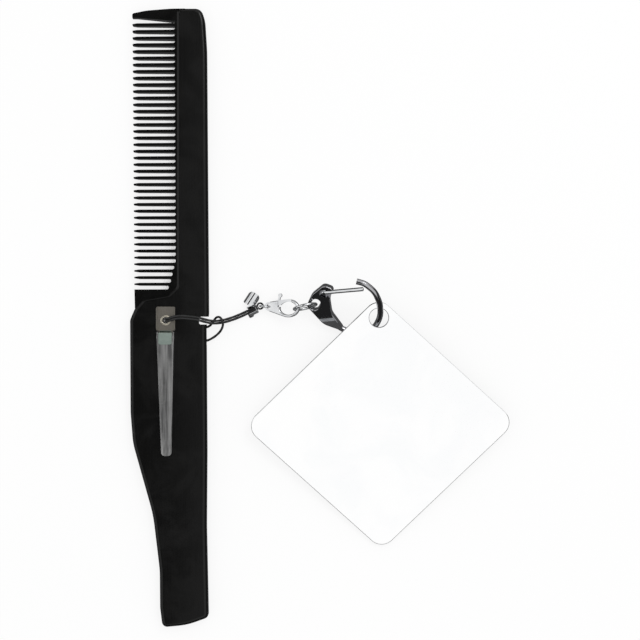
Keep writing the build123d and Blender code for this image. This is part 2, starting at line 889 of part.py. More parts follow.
def clasp_outline():
    """The clasp's outline, from the tail's round to the bow's, in the open sketch."""
    with BuildSketch(mode=Mode.PRIVATE) as rounds:
        Circle(clasp_tail_diameter / 2)
        with Locations((clasp_bow_x, clasp_bow_offset)):
            Ellipse(clasp_bow_length / 2, clasp_bow_width / 2)
    make_hull(rounds.sketch.edges())


def clasp_opening():
    """The space inside the bow, taken from the open sketch."""
    with Locations((clasp_bow_x, clasp_bow_offset)):
        Ellipse(
            clasp_bow_length / 2 - clasp_arm,
            clasp_bow_width / 2 - clasp_arm,
            mode=Mode.SUBTRACT,
        )


with BuildPart() as clasp_body:
    with BuildSketch(clasp_plane):
        clasp_outline()
        clasp_opening()
    extrude(amount=clasp_thickness / 2, both=True)
    outer_faces = clasp_body.faces().filter_by(Axis(clasp_plane.origin, clasp_plane.z_dir))
    fillet(outer_faces.edges(), radius=clasp_edge_round)
    # The thinner tail and its hole
    for side in (-1, 1):
        with BuildSketch(clasp_plane.offset(side * clasp_tail_thickness / 2)):
            Circle(clasp_tail_diameter / 2 + clasp_play)
        extrude(amount=side * clasp_thickness, mode=Mode.SUBTRACT)
    with BuildSketch(clasp_plane):
        Circle(clasp_tail_hole / 2)
    extrude(amount=clasp_thickness, both=True, mode=Mode.SUBTRACT)
    # The window for the lever, and the slot for its hub
    with BuildSketch(clasp_plane):
        with Locations(clasp_window_middle):
            Rectangle(clasp_window_end - clasp_window_start, clasp_bow_width)
    extrude(amount=clasp_thickness, both=True, mode=Mode.SUBTRACT)
    with BuildSketch(clasp_plane):
        with Locations(clasp_hub):
            Circle(clasp_hub_radius + clasp_spring_gap)
        with Locations((clasp_hub[0] + clasp_hub_radius / 2, clasp_hub[1] + clasp_bow_width / 2)):
            Rectangle(clasp_hub_radius, clasp_bow_width)
    extrude(amount=clasp_slot / 2, both=True, mode=Mode.SUBTRACT)
    with BuildSketch(clasp_plane):
        with Locations(clasp_hub):
            Circle(clasp_pin_radius + clasp_pin_fit)
    extrude(amount=clasp_thickness, both=True, mode=Mode.SUBTRACT)
finish("clasp_body", clasp_body)

# Clasp lever: the arm that closes the window, with a thumb knob
with BuildPart() as clasp_lever:
    with BuildSketch(clasp_plane):
        clasp_outline()
        clasp_opening()
        with Locations(clasp_lever_middle):
            Rectangle(
                clasp_window_end - clasp_tip_gap - clasp_hub[0],
                clasp_bow_width,
                mode=Mode.INTERSECT,
            )
        with Locations(clasp_hub):
            Circle(clasp_hub_radius)
        with BuildSketch(mode=Mode.PRIVATE) as stalk:
            with Locations((clasp_knob_x, clasp_knob_y)):
                Circle(clasp_stalk_width / 2)
            with Locations((clasp_knob_x - clasp_knob_lean, clasp_hub[1] + clasp_hub_radius)):
                Circle(clasp_stalk_width / 2)
        make_hull(stalk.sketch.edges())
        with Locations((clasp_knob_x, clasp_knob_y)):
            Circle(clasp_knob_diameter / 2)
        with Locations(clasp_hub):
            Circle(clasp_pin_radius + clasp_running_fit, mode=Mode.SUBTRACT)
    extrude(amount=clasp_lever_thickness / 2, both=True)
finish("clasp_lever", clasp_lever)

with BuildPart() as clasp_pin:
    with BuildSketch(clasp_plane):
        with Locations(clasp_hub):
            Circle(clasp_pin_radius)
    extrude(amount=clasp_thickness / 2, both=True)
finish("clasp_pin", clasp_pin)

# Clasp spring: a curved leaf round the hub, in the slot
with BuildPart() as clasp_spring:
    with BuildSketch(clasp_plane):
        with BuildLine():
            CenterArc(clasp_hub, clasp_hub_radius + clasp_play / 2, clasp_spring_from, clasp_spring_turn)
            offset(amount=clasp_spring_sheet, side=Side.RIGHT, kind=Kind.INTERSECTION)
        make_face()
    extrude(amount=clasp_spring_width / 2, both=True)
finish("clasp_spring", clasp_spring)

# Link ring: between the clasp's bow and the hook's eye
link_ring_plane = tilted(
    (link_ring_x, link_ring_y, link_ring_z),
    direction(link_ring_turn, 0),
    direction(link_ring_turn - 90, 90 - link_ring_tilt),
)
with BuildPart(link_ring_plane) as link_ring:
    Torus((link_ring_diameter - link_ring_wire) / 2, link_ring_wire / 2)
finish("link_ring", link_ring)

# Snap hook: a flat body with an eye, and a round bar that bends back to it
hook_plane = tilted(
    (hook_x, hook_y, hook_foot_height),
    direction(hook_turn, 0),
    direction(hook_turn - 90, 90 - hook_tilt),
)


def hook_point(s_share, t_share):
    """A point in the hook's plane, from shares of its width and height."""
    return (s_share * hook_width, t_share * hook_height)


hook_pivot = hook_point(*gate_pivot_share)
gate_turn = degrees(atan2(
    (gate_tip_share[1] - gate_pivot_share[1]) * hook_height,
    (gate_tip_share[0] - gate_pivot_share[0]) * hook_width,
))
bar_line = [hook_point(s, t) for s, t in hook_bar_shares]
with BuildPart() as hook_bar:
    with BuildLine(hook_plane) as bar_path:
        FilletPolyline(bar_line, radius=cord_radii([(s, t, 0) for s, t in bar_line], cord_fold_share))
    with BuildSketch(Plane(origin=bar_path.line @ 0, z_dir=bar_path.line % 0)):
        Circle(hook_wire / 2)
    sweep()

with BuildPart() as hook_body:
    with BuildSketch(hook_plane):
        with BuildLine():
            FilletPolyline(
                [hook_point(s, t) for s, t, _ in hook_body_shares],
                radius=[r * hook_width for _, _, r in hook_body_shares],
                close=True,
            )
        make_face()
    extrude(amount=hook_body_thickness / 2, both=True)
    body_faces = hook_body.faces().filter_by(Axis(hook_plane.origin, hook_plane.z_dir))
    fillet(body_faces.edges(), radius=hook_edge_round)
    with BuildSketch(hook_plane):
        with Locations(hook_point(*hook_eye_share)):
            SlotOverall(hook_eye_length, hook_eye_width, rotation=hook_eye_turn)
    extrude(amount=hook_body_thickness, both=True, mode=Mode.SUBTRACT)
    eye_faces = hook_body.faces().filter_by(Axis(hook_plane.origin, hook_plane.z_dir))
    eye_rims = [wire for face in eye_faces for wire in face.inner_wires()]
    fillet([edge for rim in eye_rims for edge in rim.edges()], radius=hook_eye_round)
    add(hook_bar.part)
    # The pocket that the gate turns in, open at the top face, and the rivet's hole
    with BuildSketch(hook_plane.offset(gate_raise - gate_diameter / 2 - gate_play)):
        with BuildSketch(mode=Mode.PRIVATE) as fan:
            with Locations(hook_pivot):
                Circle(gate_diameter / 2 + gate_play)
            for angle in (gate_turn, gate_turn - gate_swing):
                with Locations(hook_pivot):
                    with PolarLocations(hook_body_thickness * 2, 1, start_angle=angle):
                        Circle(gate_diameter / 2 + gate_play)
        make_hull(fan.sketch.edges())
        with Locations(hook_pivot):
            Circle(gate_heel + gate_diameter / 2 + gate_play)
    extrude(amount=hook_body_thickness, mode=Mode.SUBTRACT)
    with BuildSketch(hook_plane):
        with Locations(hook_pivot):
            Circle(gate_pin_radius + gate_pin_fit)
    extrude(amount=hook_body_thickness, both=True, mode=Mode.SUBTRACT)
finish("hook_body", hook_body)

# Hook gate: a round rod with a flat hub, pivoted in the body's pocket
gate_place = Location((*hook_pivot, 0), (0, 0, gate_turn))
gate_plane = Plane(hook_plane.offset(gate_raise).location * gate_place)
gate_length = (Vector(*hook_point(*gate_tip_share), 0) - Vector(*hook_pivot, 0)).length
with BuildPart() as hook_gate:
    with BuildSketch(along_plane(gate_plane, -gate_heel)):
        Circle(gate_diameter / 2)
    extrude(amount=gate_heel + gate_length)
    end_faces = hook_gate.faces().filter_by(GeomType.PLANE)
    fillet(end_faces.edges(), radius=gate_diameter / 4)
    with BuildSketch(gate_plane):
        Circle(gate_hub_radius)
    extrude(amount=gate_play - gate_diameter / 2)
    with BuildSketch(gate_plane):
        Circle(gate_pin_radius + gate_running_fit)
    extrude(amount=gate_diameter, both=True, mode=Mode.SUBTRACT)
finish("hook_gate", hook_gate)

with BuildPart() as hook_gate_pin:
    with BuildSketch(gate_plane.offset(-gate_raise - hook_body_thickness / 2)):
        Circle(gate_pin_radius)
    extrude(amount=gate_raise + (hook_body_thickness + gate_diameter) / 2)
finish("hook_gate_pin", hook_gate_pin)

# Hook spring: a curved strip between the pocket's wall and the gate's heel
with BuildPart() as hook_spring:
    with BuildSketch(gate_plane):
        with BuildLine():
            CenterArc((0, 0), gate_heel + gate_diameter / 2, gate_spring_from, gate_spring_turn)
            offset(amount=gate_spring_sheet, side=Side.LEFT, kind=Kind.INTERSECTION)
        make_face()
    extrude(amount=gate_spring_width / 2, both=True)
finish("hook_spring", hook_spring)

# Mirror: a plate with four equal sides and round corners, hung by a hole at one corner
mirror_plane = tilted(
    (mirror_hole_x, mirror_hole_y, mirror_hole_z),
    direction(mirror_turn, 0),
    direction(mirror_turn - 90, 90 - mirror_slope),
)
with BuildPart() as mirror:
    with BuildSketch(mirror_plane.offset(-mirror_thickness / 2)):
        with BuildLine():
            FilletPolyline(
                [
                    (0, mirror_hole_inset),
                    (-mirror_half_width, mirror_hole_inset - mirror_half_height),
                    (0, mirror_hole_inset - 2 * mirror_half_height),
                    (mirror_half_width, mirror_hole_inset - mirror_half_height),
                ],
                radius=mirror_corner,
                close=True,
            )
        make_face()
        Circle(mirror_hole / 2, mode=Mode.SUBTRACT)
    extrude(amount=mirror_thickness)
    flat_faces = mirror.faces().filter_by(Axis(mirror_plane.origin, mirror_plane.z_dir))
    chamfer(flat_faces.edges(), length=mirror_edge_break)
finish("mirror", mirror)
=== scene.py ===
"""Looks of a pocket comb with a sprung clip, and a mirror on a cord, a clasp and a snap hook.

Metres, +Z up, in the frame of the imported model. The comb lies flat along Y and the mirror lies to
its right. Each sub-assembly is a class, each finish is a frozen dataclass, and main() builds them
in order.
"""

import logging
import math
from dataclasses import dataclass, field
from enum import Enum
from typing import Any

import bpy
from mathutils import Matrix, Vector


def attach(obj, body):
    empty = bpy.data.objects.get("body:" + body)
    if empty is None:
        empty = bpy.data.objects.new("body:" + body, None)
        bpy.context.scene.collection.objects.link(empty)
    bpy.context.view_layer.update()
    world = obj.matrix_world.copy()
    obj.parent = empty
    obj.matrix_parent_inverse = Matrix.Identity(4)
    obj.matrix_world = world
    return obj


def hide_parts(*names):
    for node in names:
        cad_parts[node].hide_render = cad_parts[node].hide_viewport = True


MM = 0.001

log = logging.getLogger("pocket_mirror_comb")
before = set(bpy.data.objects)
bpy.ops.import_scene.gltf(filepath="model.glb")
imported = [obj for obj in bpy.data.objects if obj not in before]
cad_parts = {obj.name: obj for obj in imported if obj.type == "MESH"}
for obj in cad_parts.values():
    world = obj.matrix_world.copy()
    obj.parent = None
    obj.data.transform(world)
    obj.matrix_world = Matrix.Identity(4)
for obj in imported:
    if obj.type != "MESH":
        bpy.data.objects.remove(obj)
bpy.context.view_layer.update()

Colour = tuple[float, float, float]
Point = tuple[float, float, float]

WHITE: Colour = (1.0, 1.0, 1.0)


class Slot(Enum):
    """A material slot of the record, for the cord, which no piece here takes."""

    CORD = "cord_black"


class Board:
    """A node tree, with short calls that add nodes and join them."""

    def __init__(self, tree: bpy.types.NodeTree) -> None:
        """Starts on an empty tree.

        Args:
            tree: the material's, world's or group's node tree.
        """
        self.tree = tree
        tree.nodes.clear()

    def add(
        self,
        kind: str,
        inputs: dict[str | int, Any] | None = None,
        **settings: Any,
    ) -> bpy.types.Node:
        """Adds a node.

        Args:
            kind: the node's type, as Blender names it.
            inputs: a value, or another node's output, for each socket by name or number.
            settings: the node's own settings, by name.

        Returns:
            The new node.
        """
        node = self.tree.nodes.new(kind)
        for name, value in settings.items():
            setattr(node, name, value)
        for socket, value in (inputs or {}).items():
            self.feed(node, socket, value)
        return node

    def feed(self, node: bpy.types.Node, socket: str | int, value: Any) -> None:
        """Sets a node's socket, or joins it where the value is another node's output."""
        if isinstance(value, bpy.types.NodeSocket):
            self.tree.links.new(value, node.inputs[socket])
        else:
            node.inputs[socket].default_value = value

    def maths(
        self,
        operation: str,
        first: Any,
        second: Any = 0.0,
        clamp: bool = False,
    ) -> bpy.types.NodeSocket:
        """One sum on two values.

        Args:
            operation: the name of the sum, as Blender's Math node has it.
            first: the first value or output.
            second: the second value or output.
            clamp: keeps the result between 0 and 1.

        Returns:
            The output with the result.
        """
        node = self.add("ShaderNodeMath", {0: first, 1: second}, operation=operation, use_clamp=clamp)
        return node.outputs[0]

    def ramp(
        self,
        value: Any,
        low: Any,
        high: Any,
        start: float = 0.0,
        end: float = 1.0,
    ) -> bpy.types.NodeSocket:
        """A smooth step from start to end as the value goes from low to high."""
        node = self.add(
            "ShaderNodeMapRange",
            {"Value": value, "From Min": low, "From Max": high, "To Min": start, "To Max": end},
            interpolation_type="SMOOTHSTEP",
        )
        return node.outputs["Result"]

    def blend(self, share: Any, first: Any, second: Any) -> bpy.types.NodeSocket:
        """A colour between two colours, at a share of the way."""
        node = self.add("ShaderNodeMix", data_type="RGBA")
        self.feed(node, 0, share)
        self.feed(node, 6, first)
        self.feed(node, 7, second)
        return node.outputs[2]


def rgba(colour: Colour) -> tuple[float, float, float, float]:
    """A colour with full alpha."""
    return (*colour, 1.0)


class MarksGroup:
    """Shader groups that several finishes share: fine lines along Y, and soft handling marks."""

    LINES = "fine_lines"
    LINE_INPUTS = {"Across": 9000.0, "Along": 220.0, "Contrast": 0.5}
    LINE_NOISE = {"Scale": 1.0, "Detail": 3.0, "Roughness": 0.6}
    MIDDLE = 0.5
    SMUDGES = "handling_marks"
    SMUDGE_INPUTS = {"Scale": 180.0, "Low": 0.4, "High": 0.65}
    SMUDGE_NOISE = {"Detail": 4.0, "Roughness": 0.55, "Distortion": 0.6}

    @staticmethod
    def _start(
        name: str,
        inputs: dict[str, float],
    ) -> tuple[bpy.types.NodeTree, Board, bpy.types.Node]:
        """Makes an empty group with a vector input and named values.

        Args:
            name: the group's name.
            inputs: each value input's name and first value.

        Returns:
            The group, its board and its input node.
        """
        group = bpy.data.node_groups.new(name, "ShaderNodeTree")
        board = Board(group)
        group.interface.new_socket("Vector", in_out="INPUT", socket_type="NodeSocketVector")
        for label, value in inputs.items():
            socket = group.interface.new_socket(label, in_out="INPUT", socket_type="NodeSocketFloat")
            socket.default_value = value
        group.interface.new_socket("Value", in_out="OUTPUT", socket_type="NodeSocketFloat")
        return group, board, board.add("NodeGroupInput")

    @classmethod
    def lines(cls) -> bpy.types.NodeTree:
        """The group that draws fine lines along Y: drawn steel, or faint paler lines in plastic."""
        found = bpy.data.node_groups.get(cls.LINES)
        if found:
            return found
        group, board, source = cls._start(cls.LINES, cls.LINE_INPUTS)
        stretch = board.add(
            "ShaderNodeCombineXYZ",
            {0: source.outputs["Across"], 1: source.outputs["Along"], 2: source.outputs["Across"]},
        )
        place = board.add(
            "ShaderNodeVectorMath",
            {0: source.outputs["Vector"], 1: stretch.outputs[0]},
            operation="MULTIPLY",
        )
        noise = board.add("ShaderNodeTexNoise", {"Vector": place.outputs[0], **cls.LINE_NOISE})
        centred = board.maths("SUBTRACT", noise.outputs[0], cls.MIDDLE)
        spread = board.maths("MULTIPLY", centred, source.outputs["Contrast"])
        board.add("NodeGroupOutput", {0: board.maths("ADD", spread, cls.MIDDLE, clamp=True)})
        return group

    @classmethod
    def smudges(cls) -> bpy.types.NodeTree:
        """The group that draws soft handling marks, a few millimetres wide, from 0 to 1."""
        found = bpy.data.node_groups.get(cls.SMUDGES)
        if found:
            return found
        group, board, source = cls._start(cls.SMUDGES, cls.SMUDGE_INPUTS)
        pattern = {label: source.outputs[label] for label in ("Vector", "Scale")}
        noise = board.add("ShaderNodeTexNoise", {**pattern, **cls.SMUDGE_NOISE})
        step = board.ramp(noise.outputs[0], source.outputs["Low"], source.outputs["High"])
        board.add("NodeGroupOutput", {0: step})
        return group


@dataclass(frozen=True)
class Finish:
    """A material made of nodes, on the piece's own coordinates.

    Attributes:
        name: the material's name.
        colour: the main colour.
        second: the colour that it varies towards.
        roughness: the least roughness.
        rougher: how much the marks add to the roughness.
        metallic: 1 for metal, 0 for plastic and cord.
        specular: the strength of the surface's plain reflection.
        lines_across: fine lines in a metre, across Y.
        lines_along: how often a line breaks in a metre, along Y.
        line_depth: the depth of the lines, in metres.
        line_colour: how far the lines carry the colour towards the second one.
        line_contrast: how much the lines stand out from each other.
        smudge_scale: handling marks in a metre.
        smudge_colour: how far the marks carry the colour towards the second one.
        shade_streaks_across: broad bands of painted shade in a metre, across Y, for the shade of a
            folded channel's faces.
        shade_streak_colour: how far the bands of painted shade carry the colour towards the second
            one.
        shade_streak_contrast: how much the bands of painted shade stand out from each other.
        shade_streak_stretch: how many times longer than wide the bands of painted shade are.
    """

    name: str
    colour: Colour
    second: Colour
    roughness: float
    rougher: float = 0.1
    metallic: float = 1.0
    specular: float = 0.5
    lines_across: float = 9000.0
    lines_along: float = 220.0
    line_depth: float = 0.000004
    line_colour: float = 0.3
    line_contrast: float = 1.6
    smudge_scale: float = 180.0
    smudge_colour: float = 0.25
    shade_streaks_across: float = 900.0
    shade_streak_colour: float = 0.0
    shade_streak_contrast: float = 3.2
    shade_streak_stretch: float = 60.0

    def material(self) -> bpy.types.Material:
        """The finish's material, made once."""
        found = bpy.data.materials.get(self.name)
        if found:
            return found
        made = bpy.data.materials.new(self.name)
        made.use_nodes = True
        board = Board(made.node_tree)
        shader = board.add(
            "ShaderNodeBsdfPrincipled",
            {"Metallic": self.metallic, "Specular IOR Level": self.specular},
        )
        self.draw(board, shader, self.coordinates(board))
        board.add("ShaderNodeOutputMaterial", {"Surface": shader.outputs[0]})
        return made

    def coordinates(self, board: Board) -> bpy.types.NodeSocket:
        """The coordinates that the pattern follows."""
        return board.add("ShaderNodeTexCoord").outputs["Object"]

    def draw(self, board: Board, shader: bpy.types.Node, place: bpy.types.NodeSocket) -> None:
        """Joins the colour, roughness and bump of drawn lines and handling marks, and any broad bands
        of painted shade, to the shader.

        Args:
            board: the material's board.
            shader: its shader.
            place: the coordinates of the pattern.
        """
        lines = board.add("ShaderNodeGroup", node_tree=MarksGroup.lines())
        board.feed(lines, "Vector", place)
        board.feed(lines, "Across", self.lines_across)
        board.feed(lines, "Along", self.lines_along)
        board.feed(lines, "Contrast", self.line_contrast)
        marks = board.add("ShaderNodeGroup", node_tree=MarksGroup.smudges())
        board.feed(marks, "Vector", place)
        board.feed(marks, "Scale", self.smudge_scale)
        share = board.maths("MULTIPLY", lines.outputs[0], self.line_colour)
        marked = board.maths("MULTIPLY", marks.outputs[0], self.smudge_colour)
        share = board.maths("ADD", share, marked, clamp=True)
        # Broad bands of painted shade along Y: the colour goes darker where a folded channel's faces
        # would turn from the light.
        if self.shade_streak_colour:
            shade_streaks = board.add("ShaderNodeGroup", node_tree=MarksGroup.lines())
            board.feed(shade_streaks, "Vector", place)
            board.feed(shade_streaks, "Across", self.shade_streaks_across)
            board.feed(shade_streaks, "Along", self.shade_streaks_across / self.shade_streak_stretch)
            board.feed(shade_streaks, "Contrast", self.shade_streak_contrast)
            painted_shade_share = board.maths("MULTIPLY", shade_streaks.outputs[0], self.shade_streak_colour)
            share = board.maths("ADD", share, painted_shade_share, clamp=True)
        board.feed(shader, "Base Color", board.blend(share, rgba(self.colour), rgba(self.second)))
        by_marks = board.maths("MULTIPLY", marks.outputs[0], self.rougher)
        by_lines = board.maths("MULTIPLY", lines.outputs[0], self.rougher / 2)
        added = board.maths("ADD", by_marks, by_lines)
        board.feed(shader, "Roughness", board.maths("ADD", added, self.roughness, clamp=True))
        bump = board.add(
            "ShaderNodeBump",
            {"Strength": 1.0, "Distance": self.line_depth, "Height": lines.outputs[0]},
        )
        board.feed(shader, "Normal", bump.outputs[0])


@dataclass(frozen=True)
class BraidFinish(Finish):
    """Black waxed braid: a fine slanting weave on the cord's own UV map.

    Attributes:
        wax_scale: patches of wax, in the units of the UV map.
        wax_detail: finer and finer patches inside them.
        thread_scale: threads, in the units of the UV map.
        thread_detail: finer and finer strands inside them.
        thread_waver: how far the threads stray from straight.
        worn: the noise from which the wax is rubbed off, and where it is all gone.
        thread_relief: the share of the threads' depth that shows.
    """

    wax_scale: float = 3.0
    wax_detail: float = 4.0
    thread_scale: float = 9.0
    thread_detail: float = 2.0
    thread_waver: float = 1.2
    worn: tuple[float, float] = (0.3, 0.7)
    thread_relief: float = 0.5

    def coordinates(self, board: Board) -> bpy.types.NodeSocket:
        """The cord's UV map: once round in U, millimetres along in V."""
        return board.add("ShaderNodeUVMap", uv_map="UVMap").outputs[0]

    def draw(self, board: Board, shader: bpy.types.Node, place: bpy.types.NodeSocket) -> None:
        """Draws the threads of the braid, lighter where the wax has rubbed off."""
        noise = board.add(
            "ShaderNodeTexNoise",
            {"Vector": place, "Scale": self.wax_scale, "Detail": self.wax_detail},
        )
        threads = board.add(
            "ShaderNodeTexWave",
            {
                "Vector": place,
                "Scale": self.thread_scale,
                "Distortion": self.thread_waver,
                "Detail": self.thread_detail,
            },
        )
        threads.bands_direction = "DIAGONAL"
        share = board.maths("MULTIPLY", noise.outputs[0], threads.outputs[1])
        board.feed(shader, "Base Color", board.blend(share, rgba(self.colour), rgba(self.second)))
        roughest = self.roughness + self.rougher
        rubbed = board.ramp(noise.outputs[0], *self.worn, self.roughness, roughest)
        board.feed(shader, "Roughness", rubbed)
        bump = board.add(
            "ShaderNodeBump",
            {
                "Strength": self.thread_relief,
                "Distance": self.line_depth,
                "Height": threads.outputs[1],
            },
        )
        board.feed(shader, "Normal", bump.outputs[0])


@dataclass(frozen=True)
class MirrorFinish(Finish):
    """Silvered plate: a clean reflecting face, and a greyer, rougher cut edge.

    Attributes:
        edge: the cut edge's colour.
        edge_roughness: the cut edge's roughness.
        face_from: the upright part of the normal where the edge ends, and where the face starts.
    """

    edge: Colour = (0.62, 0.64, 0.65)
    edge_roughness: float = 0.35
    face_from: tuple[float, float] = (0.55, 0.9)

    def draw(self, board: Board, shader: bpy.types.Node, place: bpy.types.NodeSocket) -> None:
        """Draws the face and, where the surface stands upright, the cut edge."""
        normal = board.add("ShaderNodeNewGeometry").outputs["Normal"]
        upright = board.add("ShaderNodeSeparateXYZ", {0: normal}).outputs[2]
        face = board.ramp(board.maths("ABSOLUTE", upright), *self.face_from)
        marks = board.add("ShaderNodeGroup", node_tree=MarksGroup.smudges())
        board.feed(marks, "Vector", place)
        board.feed(marks, "Scale", self.smudge_scale)
        tint = board.blend(marks.outputs[0], rgba(self.colour), rgba(self.second))
        board.feed(shader, "Base Color", board.blend(face, rgba(self.edge), tint))
        clean = board.maths("MULTIPLY", marks.outputs[0], self.rougher)
        clean = board.maths("ADD", clean, self.roughness)
        node = board.add("ShaderNodeMix", data_type="FLOAT")
        board.feed(node, 0, face)
        board.feed(node, 2, self.edge_roughness)
        board.feed(node, 3, clean)
        board.feed(shader, "Roughness", node.outputs[0])


COMB_BLACK = Finish(
    "gloss_black_plastic", (0.0038, 0.0038, 0.0037), (0.0078, 0.0076, 0.0073), 0.1, 0.08,
    metallic=0.0, specular=0.22, lines_across=5200.0, lines_along=60.0, line_depth=0.0000015,
    line_colour=0.25, smudge_scale=95.0,
)
# Drawn steel for the clip's tongue and pin, with broad bands of painted shade for the tongue's folded
# channel.
CLIP_STEEL = Finish(
    "drawn_steel", (0.54, 0.54, 0.535), (0.13, 0.13, 0.13), 0.26, 0.16,
    lines_across=5200.0, lines_along=90.0, line_depth=0.000006, line_colour=0.25,
    shade_streaks_across=950.0, shade_streak_colour=0.7,
)
# The base plate's steel, with a beige-brown tint all over.
BASE_STEEL = Finish(
    "beige_tinted_steel", (0.235, 0.22, 0.195), (0.11, 0.1, 0.083), 0.3, 0.2,
    lines_across=3600.0, lines_along=700.0, line_depth=0.000005, line_colour=0.4,
    smudge_scale=420.0,
)
# The spring leaf's steel, with a pale blue-green tint all over.
BLUE_GREEN_STEEL = Finish(
    "blue_green_spring_steel", (0.37, 0.44, 0.395), (0.2, 0.25, 0.23), 0.3, 0.16,
    lines_across=1200.0, lines_along=5200.0, line_depth=0.000004, line_colour=0.4,
)
EYELET_METAL = Finish(
    "worn_nickel", (0.72, 0.68, 0.58), (0.34, 0.30, 0.22), 0.18, 0.2,
    lines_across=2600.0, lines_along=2600.0, line_depth=0.000003, line_colour=0.35,
    smudge_scale=700.0,
)
CHAIN_CHROME = Finish(
    "bright_chrome", (0.74, 0.75, 0.76), (0.5, 0.51, 0.53), 0.04, 0.05,
    lines_across=2400.0, lines_along=2400.0, line_depth=0.000001, line_colour=0.12,
    smudge_scale=520.0,
)
# The hook body's chrome, darkened well below the gate's: painted shade that keeps it dark from every
# side, in place of the dark room its face reflects.
HOOK_SHADED_CHROME = Finish(
    "cast_chrome_with_painted_shade", (0.44, 0.44, 0.455), (0.3, 0.3, 0.315), 0.045, 0.05,
    lines_across=2000.0, lines_along=2000.0, line_depth=0.000002, line_colour=0.15,
    smudge_scale=420.0,
)
CORD_BLACK = BraidFinish(
    "waxed_black_cord", (0.006, 0.006, 0.006), (0.03, 0.03, 0.031), 0.42, 0.2,
    metallic=0.0, line_depth=0.00002,
)
MIRROR_FACE = MirrorFinish(
    "silvered_face", (0.995, 0.995, 0.995), (0.97, 0.975, 0.98), 0.012, 0.02,
    smudge_scale=60.0,
)


def dress(piece: bpy.types.Object, finish: Finish) -> None:
    """Gives a piece one finish all over.

    Args:
        piece: a CAD node or a new piece.
        finish: its finish.
    """
    if piece.material_slots:
        for slot in piece.material_slots:
            slot.material = finish.material()
    else:
        piece.data.materials.append(finish.material())


def node(name: str) -> bpy.types.Object:
    """A CAD node by its name."""
    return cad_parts[name]


def deselect_all() -> None:
    """Leaves nothing selected and nothing active."""
    for piece in list(bpy.context.selected_objects):
        piece.select_set(False)
    bpy.context.view_layer.objects.active = None


@dataclass
class Comb:
    """The comb's body."""

    def build(self) -> list[bpy.types.Object]:
        """Dresses the comb."""
        dress(node("comb_body"), COMB_BLACK)
        return [node("comb_body")]


@dataclass
class PocketClip:
    """The sprung clip, its pin, and the eyelet that holds it to the comb."""

    def build(self) -> list[bpy.types.Object]:
        """Dresses the clip's pieces."""
        finishes = {
            "clip_base": BASE_STEEL,
            "clip_spring": BLUE_GREEN_STEEL,
            "clip_tongue": CLIP_STEEL,
            "clip_pin": CLIP_STEEL,
            "eyelet": EYELET_METAL,
            "eyelet_washer": EYELET_METAL,
        }
        for name, finish in finishes.items():
            dress(node(name), finish)
        return [node(name) for name in finishes]


